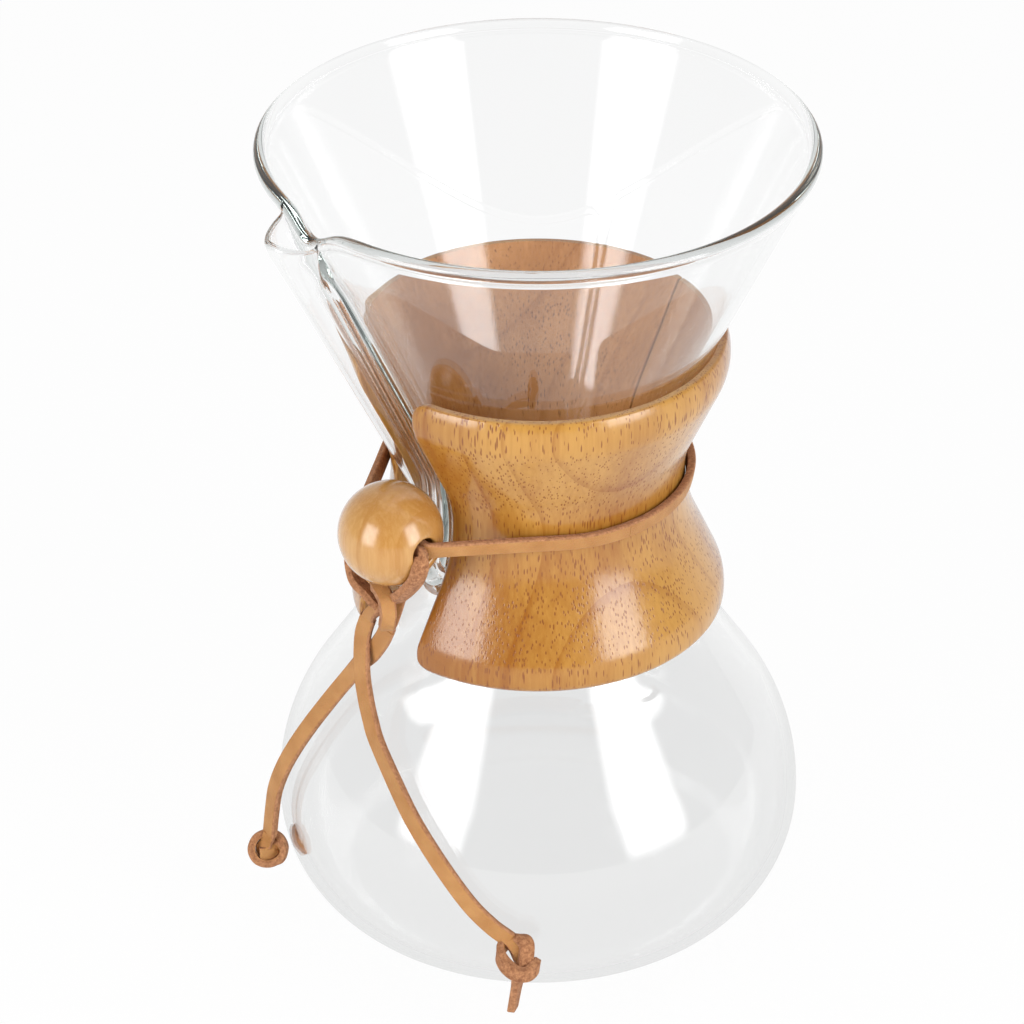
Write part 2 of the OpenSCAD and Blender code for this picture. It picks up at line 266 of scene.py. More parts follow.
def mixed(tree, factor, a, b, blend="MIX"):
    """Two colours mixed, by the sockets that a Mix node has for colours"""
    node = add_node(tree, "Mix", data_type="RGBA", blend_type=blend)
    for socket, value in ((MIX_FACTOR, factor), (MIX_A, a), (MIX_B, b)):
        feed(tree, node.inputs[socket], value)
    return node.outputs[MIX_RESULT]


def maths(tree, operation, *values):
    node = add_node(tree, "Math", operation=operation)
    for socket, value in zip(node.inputs, values):
        feed(tree, socket, value)
    return node.outputs[0]


def leather_finish():
    material, tree, shader, _ = start_material("tan_leather")
    chart = add_node(tree, "UVMap", uv_map="strip")
    parts = add_node(tree, "SeparateXYZ", Vector=chart.outputs[0])
    turn = maths(tree, "FRACT", maths(tree, "ADD", parts.outputs[0], 0.15))
    smooth_side = ramp(tree, turn, [(0.13, 0), (0.17, 1), (0.45, 1), (0.5, 0)])
    raw_edge = ramp(tree, turn, [(0.1, 1), (0.14, 0), (0.47, 0), (0.5, 1), (0.6, 1), (0.64, 0)])
    place = add_node(tree, "TexCoord").outputs["Object"]
    grain = add_node(tree, "TexNoise", Vector=place, Scale=2600.0, Detail=4.0, Roughness=0.6)
    fibre = add_node(tree, "TexNoise", Vector=place, Scale=1000.0, Detail=6.0, Roughness=0.8)
    patch = add_node(tree, "TexNoise", Vector=place, Scale=160.0, Detail=3.0)
    tan = ramp(tree, patch.outputs["Fac"], [(0.3, (0.42, 0.185, 0.052)), (0.7, (0.52, 0.255, 0.085))])
    tan = mixed(tree, 0.25, tan, grain.outputs["Color"], "SOFT_LIGHT")
    suede = ramp(tree, fibre.outputs["Fac"], [(0.36, (0.2, 0.07, 0.028)), (0.66, (0.58, 0.28, 0.13))])
    pale_edge = mixed(tree, maths(tree, "MULTIPLY", raw_edge, 0.2), suede, (0.56, 0.29, 0.15))
    rough = add_node(tree, "MapRange", Value=smooth_side)
    set_inputs(tree, rough, {"To Min": 0.9, "To Max": 0.5})
    height = mixed(tree, smooth_side, fibre.outputs["Fac"], grain.outputs["Fac"])
    bump = add_node(tree, "Bump", Strength=0.7, Distance=0.0004, Height=height)
    set_inputs(tree, shader, {
        "Base Color": mixed(tree, smooth_side, pale_edge, tan), "Roughness": rough.outputs[0],
        "Normal": bump.outputs[0], "Specular IOR Level": 0.3, "Sheen Weight": 0.06, "Sheen Roughness": 0.6,
    })
    return material


LEATHER = leather_finish()


def dress(piece, material):
    piece.data.materials.clear()
    piece.data.materials.append(material)


print("leather finish:", len(LEATHER.node_tree.nodes), "nodes")

# %% [markdown]
# ## The two tails
# Below the bead the ends of the strip hang free over the bulb, and each ends in an overhand
# knot. They follow the same points as the engineering model.

# %% Tails
FRONT_ROUTE = [[1, -52, 99], [0, -53, 94], [0, -53.6, 88], [0.6, -54, 82], [2.6, -54.4, 76],
               [5.4, -55, 71.6], [9, -55.6, 67.4], [18.5, -57, 61.8], [28.2, -57.6, 55.2],
               [37.3, -56.1, 47.2], [45, -52.8, 38.2], [50, -49.4, 32.6], [54, -46.4, 29.4]]
SIDE_ROUTE = [[7.6, -50.6, 99], [5.9, -50.6, 95.6], [3.6, -50.6, 92], [0.8, -50.8, 88],
              [-2.4, -51, 84.4], [-5.6, -51.3, 80.4], [-8.8, -52.1, 75.6], [-11.6, -53.6, 70.8],
              [-14.2, -55.8, 65.5], [-16.5, -59.5, 59.1], [-18.6, -63, 52.4], [-21, -65.3, 45.4],
              [-23.2, -66.6, 38], [-24.1, -67.3, 31], [-24.3, -68.2, 23.6]]
TAIL_TWIST = 0.4


def outwards(points):
    """The level ways from the carafe's axis to the points"""
    p = np.array(points, float)
    return unit_rows(cols(p[:, 0], p[:, 1], 0 * p[:, 0]))


def make_tail(name, route):
    points = np.array(route, float) * MM
    looks = outwards(points) + TAIL_TWIST * np.array([math.sin(CAMERA_TURN), -math.cos(CAMERA_TURN), 0])
    return make_strip(name, points, looks), smooth_line(points, 0.7 * MM)


tail_front, front_line = make_tail("leather_tail_front", FRONT_ROUTE)
tail_side, side_line = make_tail("leather_tail_side", SIDE_ROUTE)
print("tails:", round(tail_front["length_m"], 4), round(tail_side["length_m"], 4), "m")

# %% [markdown]
# ## The knots at the ends
# An overhand knot in a flat strip: the end goes once round the standing part and comes back
# through its own loop. Each knot is drawn as it is seen, in mm to the right, up and towards the
# viewer, and each point also says which way the smooth face looks. The wraps turn their suede out.

# %% End knots
FRONT_KNOT_AT = np.array([57.4, -46.2, 25.8])
FRONT_KNOT = [
    [-3.3, 5.35, -0.55, 0, 0, 1], [-1.9, 4.2, -0.3, 0, 0, 1], [-0.5, 2.4, -0.3, 0, 0, 1],
    [0.5, 0.2, -0.8, 0, 0.1, 1], [1.6, -2.0, -1.5, 0, 0.1, 1],
    [3.4, -2.6, -1.5, -0.3, 0.2, 0.9], [4.5, -1.8, 0.0, -1, 0.2, 0], [3.9, -2.6, 1.1, -0.8, 0.3, -0.6],
    [2.2, -3.9, 1.9, -0.2, 0.5, -0.9], [-0.5, -3.7, 2.2, 0.1, 0.4, -0.95], [-2.9, -1.9, 1.8, 0.4, 0.3, -0.9],
    [-4.4, 0.5, 0.7, 0.9, 0.1, -0.4], [-4.2, 2.2, -0.8, 0.9, -0.2, 0.4], [-2.6, 4.0, -2.0, 0.4, -0.5, 0.8],
    [-1.0, 4.8, -1.6, 0.1, -0.8, 0.6], [0.5, 4.8, -0.4, 0, -1, -0.1], [1.95, 3.6, 0.7, -0.1, -0.5, -0.9],
    [2.05, 1.2, 1.0, 0, -0.1, -1], [1.6, -1.4, 0.6, -0.2, 0, -1], [0.4, -3.9, 0.0, -0.5, 0, -0.8],
    [-0.4, -7.6, -3.2, -0.85, 0, -0.5], [-1.4, -13.4, -7.2, -0.9, 0, -0.4],
]
SIDE_KNOT_AT = np.array([-24.4, -68.9, 19.0])
SIDE_KNOT = [
    [0.63, 4.06, 2.2, -0.6, -0.4, 0.7], [-0.3, 1.8, 0.3, -0.4, -0.1, 0.9], [-1.5, -0.4, -1.0, -0.2, 0, 1],
    [0.9, -2.3, -1.5, -0.2, 0.3, 0.9], [3.0, -2.4, -1.5, -0.7, 0.5, 0.5], [4.3, -0.4, -0.8, -1, 0.1, 0],
    [3.2, 2.7, -0.4, -0.75, -0.65, 0], [0.3, 4.0, -0.6, 0, -1, 0], [-3.0, 2.9, 0.0, 0.7, -0.7, 0],
    [-4.3, -0.2, 0.5, 1, 0, 0], [-3.0, -3.0, 0.7, 0.7, 0.7, 0], [-0.4, -4.0, 0.9, 0.1, 1, 0],
    [2.2, -3.4, 1.0, -0.5, 0.85, 0], [3.9, -1.6, 0.7, -0.95, 0.3, 0], [3.6, 0.5, 0.0, -0.9, -0.4, 0.1],
    [2.0, 0.6, -0.6, -0.3, -0.7, 0.6], [0.6, -0.9, -0.2, 0, -0.1, 1], [-0.9, -1.5, 0.4, 0, 0, 1],
    [-2.2, -1.6, 0.7, 0, 0, 1],
]
END_KNOT_W, END_KNOT_T = 4.0 * MM, 1.9 * MM
seen_right = Vector((math.cos(CAMERA_TURN), math.sin(CAMERA_TURN), 0))
seen_axes = np.array([seen_right, towards_camera.cross(seen_right), towards_camera])


def make_end_knot(name, at, plan):
    rows = np.array(plan, float)
    points = at + rows[:, :3] @ seen_axes
    looks = rows[:, 3:] @ seen_axes
    return make_strip(name, points * MM, looks, width=END_KNOT_W, thick=END_KNOT_T, step=0.4 * MM)


knot_front = make_end_knot("leather_end_knot_front", FRONT_KNOT_AT, FRONT_KNOT)
knot_side = make_end_knot("leather_end_knot_side", SIDE_KNOT_AT, SIDE_KNOT)
for piece, node in ((tail_front, "tail_front"), (tail_side, "tail_side"),
                    (knot_front, "end_knot_front"), (knot_side, "end_knot_side")):
    dress(piece, LEATHER)
    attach(piece, "carafe")
    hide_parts(node)
print("end knots made")

# %% [markdown]
# ## The glass wall
# Borosilicate glass is blown into a mould, so the wall has an even thickness and every curve runs
# smoothly into the next. The outline is the engineering one: a bulb, a straight shoulder, a round
# neck and a straight funnel that ends in a fire-polished bead.

# %% Outline of the glass
WALL, RIM_T, RIM_R, HEIGHT = 2.6, 3.4, 68.0, 216.0
FUNNEL_LEAN, SHOULDER_LEAN = 25, 33.5
FUNNEL, SHOULDER = math.radians(FUNNEL_LEAN), math.radians(SHOULDER_LEAN)
BULB_R, BULB_Z, BASE_R, SHOULDER_ROUND, NECK_R = 68.0, 28.0, 44.0, 55.0, 28.5
RIM_AT = np.array([RIM_R - RIM_T / 2, HEIGHT - RIM_T / 2])
RIM_JOIN, BASE_HUB = 1.1, 3
SHOULDER_AT = np.array([BULB_R - SHOULDER_ROUND, BULB_Z])
side_way = np.array([math.cos(FUNNEL), -math.sin(FUNNEL)])
up_way = np.array([math.sin(FUNNEL), math.cos(FUNNEL)])
funnel_offset = RIM_AT[0] * math.cos(FUNNEL) - RIM_AT[1] * math.sin(FUNNEL) + WALL / 2
shoulder_offset = SHOULDER_AT @ [math.cos(SHOULDER), math.sin(SHOULDER)] + SHOULDER_ROUND
ratio = math.sin(SHOULDER) / math.sin(FUNNEL)
slope_sum = math.cos(SHOULDER) + ratio * math.cos(FUNNEL)
NECK_ROUND = (shoulder_offset + ratio * funnel_offset - NECK_R * slope_sum) / (slope_sum - ratio - 1)
NECK_AT = np.array([NECK_R + NECK_ROUND, ((NECK_R + NECK_ROUND) * math.cos(FUNNEL)
                                          - funnel_offset - NECK_ROUND) / math.sin(FUNNEL)])


def round_points(centre, radius, start, end, count):
    a = np.radians(np.linspace(start, end, count))
    return cols(centre[0] + radius * np.cos(a), centre[1] + radius * np.sin(a))


def glass_outline(d):
    """The wall's outline moved outwards by d, from the middle of the base to the rim's bead"""
    a = np.radians(np.linspace(-90, 0, 28))
    foot = cols(BASE_R + (BULB_R - BASE_R + d) * np.cos(a), BULB_Z + (BULB_Z + d) * np.sin(a))
    bulb = round_points(SHOULDER_AT, SHOULDER_ROUND + d, 0, SHOULDER_LEAN, 20)
    neck = round_points(NECK_AT, NECK_ROUND - d, 180 + SHOULDER_LEAN, 180 - FUNNEL_LEAN, 56)
    top = RIM_AT + (d + WALL / 2) * side_way - RIM_JOIN * up_way
    base = cols(np.linspace(BASE_HUB, BASE_R, 8)[:-1], np.full(7, foot[0, 1]))
    shoulder = np.linspace(bulb[-1], neck[0], 7)[1:-1]
    funnel = np.linspace(neck[-1], top, 40)[1:]
    return np.vstack([base, foot, bulb[1:], shoulder, neck, funnel])


outer = glass_outline(0)
inner = glass_outline(-WALL)
print("outline has", len(outer), "points, neck round", round(NECK_ROUND, 1), "mm")

# %% [markdown]
# ## The pouring tube
# A tube is fused to the outside of the funnel. It runs down beside the neck, where it opens into
# the carafe, and its mouth is pinched into a small lip at the rim. A joined-on tube would show
# creases, so the outside of the wall is pushed out to the tube's section instead, with a soft
# fillet on each side. The rim is slit at the mouth, and the bore hangs from that slit.

# %% Section of the tube on the wall
ZONE, FILLET, MARGIN = 10.0, 1.2, 0.3
TUBE_WALL, TUBE_STAND, FOOT_R, ELBOW_Z = 0.9, 4.4, 34.1, 131.8
TUBE_Z, TUBE_R = [95, ELBOW_Z, 200], [3.8, 3.4, 5.0]
FLAT_N, FILLET_N, SIDE_N, ROUND_N = 5, 9, 4, 35
COLUMNS = 2 * (FLAT_N + FILLET_N + SIDE_N) + ROUND_N
SLIT = (FLAT_N, COLUMNS - 1 - FLAT_N)
LIP_W, LIP_REACH, LIP_POINT = 8.0, 9.8, 1.25


def tube_radius(z):
    return float(np.interp(z, TUBE_Z, TUBE_R))


def tube_section(radius, stand):
    """Points (across, out) of the wall's bulge over a tube of that radius, its axis at stand"""
    stand = max(stand, FILLET + MARGIN)
    t = np.radians(np.linspace(0, 90, FILLET_N))
    left = np.vstack([
        cols(np.linspace(-ZONE, -radius - FILLET - MARGIN, FLAT_N), np.zeros(FLAT_N)),
        cols(-radius - FILLET + FILLET * np.sin(t), FILLET - FILLET * np.cos(t)),
        cols(np.full(SIDE_N, -radius), np.linspace(FILLET, stand, SIDE_N + 2)[1:-1]),
    ])
    a = np.radians(np.linspace(180, 0, ROUND_N))
    crown = cols(radius * np.cos(a), stand + radius * np.sin(a))
    right = left[::-1] * [-1, 1]
    return np.vstack([left, crown, right])


def lip_section():
    """Points (across, out) of the pinched lip at the rim"""
    tau = np.clip((np.arange(COLUMNS) - SLIT[0] + 0.5) / (SLIT[1] - SLIT[0] + 1), 0, 1)
    a = np.pi * (1 - tau)
    points = cols(LIP_W * np.cos(a), LIP_REACH * np.sin(a) ** LIP_POINT)
    edge = np.linspace(-ZONE, -LIP_W, FLAT_N + 1)[:-1]
    points[:FLAT_N] = cols(edge, np.zeros(FLAT_N))
    points[-FLAT_N:] = cols(-edge[::-1], np.zeros(FLAT_N))
    return points


plain_section = cols(np.linspace(-ZONE, ZONE, COLUMNS), np.zeros(COLUMNS))
print("tube section has", COLUMNS, "columns, slit at", SLIT)

# %% [markdown]
# Each row of the wall takes its own section: plain below the foot, the round tube above it, and
# the lip at the rim. The standoff follows the tube's axis, which is upright beside the neck and
# leans with the funnel above its elbow.

# %% Rows of the wall
AROUND = 200
FOOT_LOW, FOOT_HIGH, PINCH_LOW, PINCH_HIGH = 96, 107, 198, 213
SAG_DEPTH, SAG_TURN, SAG_WIDTH, SAG_LOW = 4.6, 3.5, 6.0, 190
LEAST_R, LEAST_SLOPE, ELBOW_SOFT = 28.0, 0.3, 0.8


def wall_normals(line):
    along = unit_rows(np.gradient(line, axis=0))
    return cols(along[:, 1], -along[:, 0])


outer_normal = wall_normals(outer)


def tube_stand(r, z, n):
    upright = (FOOT_R - r) / max(n[0], LEAST_SLOPE)
    lean = funnel_offset + TUBE_STAND - (r * math.cos(FUNNEL) - z * math.sin(FUNNEL))
    lean = lean / max(n @ side_way, LEAST_SLOPE)
    return 0.5 * (upright + lean + math.hypot(upright - lean, ELBOW_SOFT))


def wall_section(r, z, n):
    if z < FOOT_LOW:
        return plain_section
    grown = smoothstep(FOOT_LOW, FOOT_HIGH, z)
    pinch = smoothstep(PINCH_LOW, PINCH_HIGH, z)
    round_part = tube_section(tube_radius(z), tube_stand(r, z, n))
    shape = round_part + (lip_section() - round_part) * pinch
    even = plain_section + (shape - plain_section) * grown ** 0.5 * [1, 0]
    return cols(even[:, 0], shape[:, 1] * grown)


def on_wall(r, z, n, across, out):
    """Places of points that lie across mm beside the tube's middle and out mm above the wall"""
    turn = across / max(r, LEAST_R)
    return cols(
        r * np.sin(turn),
        -r * np.cos(turn) - out * n[0],
        np.full(len(turn), z) + out * n[1],
    )


def ring_of(r, z, n, section):
    """One ring of the carafe: the tube's columns first, then the rest of the turn"""
    half = ZONE / max(r, LEAST_R)
    a = np.linspace(half, 2 * math.pi - half, AROUND + 2)[1:-1]
    rest = cols(r * np.sin(a), -r * np.cos(a), np.full(AROUND, z))
    return np.vstack([on_wall(r, z, n, section[:, 0], section[:, 1]), rest])


def rim_dip(points, out_share):
    """The rim sags where the mouth was pressed into it, most on the side that the tube leans to"""
    turn = np.degrees(np.arctan2(points[:, 0], -points[:, 1]))
    sag = SAG_DEPTH * np.exp(-((turn - SAG_TURN) / SAG_WIDTH) ** 2)
    points[:, 2] -= sag * smoothstep(SAG_LOW, PINCH_HIGH, points[:, 2]) * (1 - out_share)
    return points


rows = []
for (r, z), n in zip(outer, outer_normal):
    section = wall_section(r, z, n)
    share = np.concatenate([np.clip(section[:, 1] / LIP_REACH, 0, 1), np.zeros(AROUND)])
    rows.append(rim_dip(ring_of(r, z, n, section), share))
ACROSS = COLUMNS + AROUND
print("outer rows:", len(rows), "of", ACROSS, "points")

# %% [markdown]
# The rim's bead is a ring of glass. Away from the mouth it is a plain round section. At the mouth
# the first half of its rows goes over the lip, the second half over the wall that divides the
# mouth from the funnel, and between them the rim is open.

# %% The bead of the rim and the lip
RIM_N, OPEN_ROW, RIM_START, RIM_END = 21, 10, -40, 220
LIP_T, LIP_RISE, SLIT_EASE, SLIT_FALL = 1.7, 0.9, 7, 115
lip = lip_section()


def rim_point(angle):
    return RIM_AT + RIM_T / 2 * (math.cos(angle) * side_way + math.sin(angle) * up_way)


def rim_ring(j):
    r, z = rim_point(math.radians(RIM_START + (RIM_END - RIM_START) * j / (RIM_N - 1)))
    return ring_of(r, z, side_way, lip * [1, 0])


lip_in = wall_normals(lip)
slit_share = smoothstep(SLIT[0] - 1, SLIT[0] + SLIT_EASE, np.arange(COLUMNS))
slit_share = np.minimum(slit_share, slit_share[::-1])
top_r, top_z = outer[-1]
lip_rows, wall_rows = [], []
for j in range(OPEN_ROW + 1):
    plain = rim_ring(j)
    b = math.pi * j / OPEN_ROW
    inward = LIP_T / 2 * (1 - math.cos(b))
    lifted = lip + lip_in * inward
    ring = on_wall(top_r, top_z, side_way, lifted[:, 0], lifted[:, 1])
    ring[:, 2] += LIP_T / 2 * math.sin(b) + LIP_RISE * lip[:, 1] / LIP_REACH
    mixed_ring = plain.copy()
    mixed_ring[:COLUMNS] += (ring - plain[:COLUMNS]) * slit_share[:, None]
    share = np.concatenate([np.clip(lip[:, 1] / LIP_REACH, 0, 1) * slit_share, np.zeros(AROUND)])
    lip_rows.append(rim_dip(mixed_ring, share))
for j in range(OPEN_ROW, RIM_N):
    plain = rim_ring(j)
    for k in range(COLUMNS):
        start = 90 - SLIT_FALL * slit_share[k]
        angle = math.radians(start + (RIM_END - start) * (j - OPEN_ROW) / (RIM_N - 1 - OPEN_ROW))
        r, z = rim_point(angle)
        plain[k] = on_wall(r, z, side_way, lip[k:k + 1, 0], np.zeros(1))[0]
    wall_rows.append(rim_dip(plain, np.zeros(ACROSS)))
print("rim rows:", len(lip_rows), "over the lip and", len(wall_rows), "over the dividing wall")

# %% [markdown]
# The bore starts at the slit in the rim as a leaf-shaped mouth, becomes round below it, follows the
# tube down and bends inwards at the foot, where it opens through the wall into the carafe.

# %% Rings of the bore
FIRST, LAST = SLIT[0] - 1, SLIT[1] + 1
OUT_N = LAST - FIRST + 1
bore_turn = np.concatenate([np.linspace(math.pi, 0, OUT_N), -np.linspace(0, math.pi, OUT_N)[1:-1]])
mouth_w, mouth_out, mouth_in = LIP_W - LIP_T, LIP_REACH - LIP_T, 0.5
mouth_loop = cols(
    mouth_w * np.cos(bore_turn),
    mouth_in + (mouth_out - mouth_in) * np.maximum(np.sin(bore_turn), 0) ** LIP_POINT,
)
MOUTH_LOW, BEND_TOP, BEND_DROP, BEND_R, BEND_EASE = 211, 112.0, 9.0, 2.9, 0.7
BEND_TURNS = np.radians(np.linspace(10, 90, 9))
HOLE_W, HOLE_H, HOLE_PAST = 2.4, 2.6, 0.2
inner_top = inner[np.argsort(inner[:, 1])]
hole_z = BEND_TOP - BEND_DROP
hole_r = float(np.interp(hole_z, inner_top[:, 1], inner_top[:, 0])) + HOLE_PAST
bore_rings = []
for (r, z), n in zip(outer[::-1], outer_normal[::-1]):
    if z < BEND_TOP or z > MOUTH_LOW:
        continue
    radius = tube_radius(z) - TUBE_WALL
    stand = tube_stand(r, z, n)
    circle = cols(radius * np.cos(bore_turn), stand + radius * np.sin(bore_turn))
    loop = circle + (mouth_loop - circle) * smoothstep(PINCH_LOW, PINCH_HIGH, z)
    ring = on_wall(r, z, n, loop[:, 0], loop[:, 1])
    bore_rings.append(rim_dip(ring, np.clip(loop[:, 1] / LIP_REACH, 0, 1)))
for b in BEND_TURNS:
    at = np.array([FOOT_R - (FOOT_R - hole_r) * (1 - math.cos(b)), BEND_TOP - BEND_DROP * math.sin(b)])
    v = np.array([BEND_DROP * math.cos(b), -(FOOT_R - hole_r) * math.sin(b)])
    v = v / np.linalg.norm(v)
    radius = BEND_R - BEND_EASE * math.sin(b)
    bore_rings.append(cols(
        radius * np.cos(bore_turn),
        -(at[0] + radius * np.sin(bore_turn) * v[0]),
        at[1] + radius * np.sin(bore_turn) * v[1],
    ))
print("bore rings:", len(bore_rings), "of", len(bore_turn), "points, opening at z", hole_z)

# %% [markdown]
# All rings are joined into one closed skin: up the outside, over the rim, down the inside, and
# down the bore from the slit. The last step cuts the hole in the inner wall and joins it to the bore.

# %% Join the carafe
points, faces = [], []


def add_ring(ring):
    start = len(points)
    points.extend(ring * MM)
    return list(range(start, start + len(ring)))


def join_rings(a, b):
    n = len(a)
    for k in range(n):
        m = (k + 1) % n
        quad = [a[k], a[m], b[m], b[k]]
        if len(set(quad)) == 4:
            faces.append(quad)


ids = [add_ring(ring) for ring in rows[:-1] + lip_rows]
edge_ids = ids[-1]
open_ids = add_ring(wall_rows[0])
for k in range(ACROSS):
    if k <= FIRST or k >= LAST:
        open_ids[k] = edge_ids[k]
inside_ids = [open_ids] + [add_ring(ring) for ring in wall_rows[1:]]
inner_normal = wall_normals(inner)
inner_ids = []
for (r, z), n in zip(inner[-2::-1], inner_normal[-2::-1]):
    inner_ids.append(add_ring(rim_dip(ring_of(r, z, n, plain_section), np.zeros(ACROSS))))
for chain in (ids, inside_ids + inner_ids):
    for a, b in zip(chain, chain[1:]):
        join_rings(a, b)
faces.append(ids[0][::-1])
faces.append(inner_ids[-1])
bore_ids = [edge_ids[FIRST:LAST + 1] + open_ids[LAST - 1:FIRST:-1]]
bore_ids += [add_ring(ring) for ring in bore_rings]
for a, b in zip(bore_ids, bore_ids[1:]):
    join_rings(a, b)
inner_points = set(k for ring in inner_ids for k in ring)


def near_hole(face):
    middle = np.mean([points[k] for k in face], axis=0) / MM
    return all(k in inner_points for k in face) and middle[1] < 0 and (
        (middle[0] / HOLE_W) ** 2 + ((middle[2] - hole_z) / HOLE_H) ** 2 < 1)


kept = [f for f in faces if not (len(f) == 4 and near_hole(f))]
print("carafe:", len(points), "points,", len(kept), "faces,", len(faces) - len(kept), "cut for the bore")

# %% Close the skin and smooth the hole
glass = add_mesh("glass_wall", points, kept)
bm = bmesh.new()
bm.from_mesh(glass.data)
bm.verts.ensure_lookup_table()
loose = [v for v in bm.verts if not v.link_faces]
bmesh.ops.delete(bm, geom=loose, context="VERTS")
ends = [e for e in bm.edges if e.is_boundary]
bmesh.ops.bridge_loops(bm, edges=ends)
bmesh.ops.recalc_face_normals(bm, faces=bm.faces)
for f in bm.faces:
    f.smooth = True
print("open edges before and after:", len(ends), sum(e.is_boundary for e in bm.edges))
bm.to_mesh(glass.data)
bm.free()
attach(glass, "carafe")
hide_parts("glass_carafe")

# %% [markdown]
# ## Clear glass
# Clear glass gets its look from what it bends and reflects. Light for the shadows and for the
# pieces behind it passes straight through, which a mix with a transparent shader allows. So does light
# that has been thrown about inside the wall many times, which would else end up black. A faint
# grey-green soaks up light where the path through the wall is long, as it does at rims and seams.

# %% Glass material
LAST_BOUNCE = 7.5


def mixed_shader(tree, factor, a, b):
    node = add_node(tree, "MixShader")
    for socket, value in zip(node.inputs, (factor, a.outputs[0], b.outputs[0])):
        feed(tree, socket, value)
    return node


def glass_finish():
    material, tree, shader, output = start_material("clear_glass")
    set_inputs(tree, shader, {
        "Base Color": (1, 1, 1), "Roughness": 0.0, "IOR": 1.47, "Transmission Weight": 1.0})
    rays = add_node(tree, "LightPath").outputs
    clear = add_node(tree, "BsdfTransparent", Color=(0.985, 0.988, 0.987))
    straight = maths(tree, "MAXIMUM", rays["Is Shadow Ray"], rays["Is Diffuse Ray"])
    straight = maths(tree, "MAXIMUM", straight, maths(tree, "GREATER_THAN", rays["Ray Depth"], LAST_BOUNCE))
    soak = add_node(tree, "VolumeAbsorption", Color=(0.3, 0.37, 0.345), Density=10.0)
    either = mixed_shader(tree, straight, shader, clear)
    set_inputs(tree, output, {"Surface": either.outputs[0], "Volume": soak.outputs[0]})
    return material


GLASS = glass_finish()
dress(glass, GLASS)
print("glass finish:", len(GLASS.node_tree.nodes), "nodes")

# %% [markdown]
# ## Wood
# The collar and the bead are turned from the same kind of tropical wood. Its pores are thin upright
# tubes, so they show as short dark dashes on upright faces and as dots on sloping ones. A solid
# texture gives both without any unwrapping. Three finishes use the group with their own values: the
# collar's polished skin, its raw bore and the bead.

# %% Wood grain group
GROUP_SOCKETS = (
    ("INPUT", "Vector", ("Place",)),
    ("INPUT", "Float", ("Pore size", "Pore amount", "Arc strength")),
    ("INPUT", "Color", ("Pale", "Deep", "Pore")),
    ("OUTPUT", "Color", ("Colour",)),
    ("OUTPUT", "Float", ("Height", "Polish")),
)
HEART_AT, HEART_STRETCH = (0.150, -0.008, 0), (34, 34, 2.4)


def grain_group():
    group = bpy.data.node_groups.new("wood_grain", "ShaderNodeTree")
    for way, kind, names in GROUP_SOCKETS:
        for name in names:
            group.interface.new_socket(name, in_out=way, socket_type="NodeSocket" + kind)
    given = group.nodes.new("NodeGroupInput").outputs
    put = group.nodes.new("NodeGroupOutput")

    def times(a, b):
        return maths(group, "MULTIPLY", a, b)

    def moved(operation, source, by):
        node = add_node(group, "VectorMath", operation=operation)
        feed(group, node.inputs[0], source)
        feed(group, node.inputs[1], by)
        return node.outputs[0]

    def textured(kind, scale, **values):
        place = add_node(group, "Mapping", Scale=scale, Vector=given["Place"])
        return add_node(group, kind, Scale=1.0, Vector=place.outputs[0], **values)

    clouds = textured("TexNoise", (28, 28, 9), Detail=3.0, Roughness=0.55)
    heart = moved("MULTIPLY", moved("SUBTRACT", given["Place"], HEART_AT), HEART_STRETCH)
    arcs = add_node(group, "TexWave", Scale=1.0, Distortion=1.2, Detail=3.0, wave_type="RINGS",
                    rings_direction="Z", wave_profile="SAW", Vector=heart)
    set_inputs(group, arcs, {"Detail Scale": 0.6})
    streak = textured("TexNoise", (900, 900, 38), Detail=3.0, Roughness=0.6).outputs["Fac"]
    pores = textured("TexVoronoi", (1500, 1500, 185), feature="F1")
    crowd = textured("TexNoise", (70, 70, 30), Detail=2.0)
    tone = ramp(group, clouds.outputs["Fac"], [(0.35, 0), (0.65, 1)])
    wave = ramp(group, arcs.outputs["Fac"], [(0.0, 0.2), (0.05, 0), (0.82, 0.1), (0.97, 1)])
    shade = maths(group, "ADD", times(wave, given["Arc strength"]), tone)
    fine = maths(group, "SUBTRACT", streak, 0.5)
    body = mixed(group, maths(group, "ADD", shade, fine), given["Pale"], given["Deep"])
    crowded = maths(group, "ADD", times(crowd.outputs["Fac"], 1.4), 0.3)
    reach = times(given["Pore size"], crowded)
    near = add_node(group, "MapRange", interpolation_type="SMOOTHSTEP", Value=pores.outputs["Distance"])
    set_inputs(group, near, {"From Min": times(reach, 0.55), "From Max": reach, "To Min": 1.0, "To Max": 0.0})
    pore = times(near.outputs[0], given["Pore amount"])
    set_inputs(group, put, {
        "Colour": mixed(group, pore, body, given["Pore"]),
        "Height": maths(group, "SUBTRACT", times(streak, 0.7), times(pore, 0.3)),
        "Polish": maths(group, "ADD", times(pore, 0.3), times(streak, 0.12)),
    })
    return group


WOOD_GRAIN = grain_group()
print("wood grain group:", len(WOOD_GRAIN.nodes), "nodes")

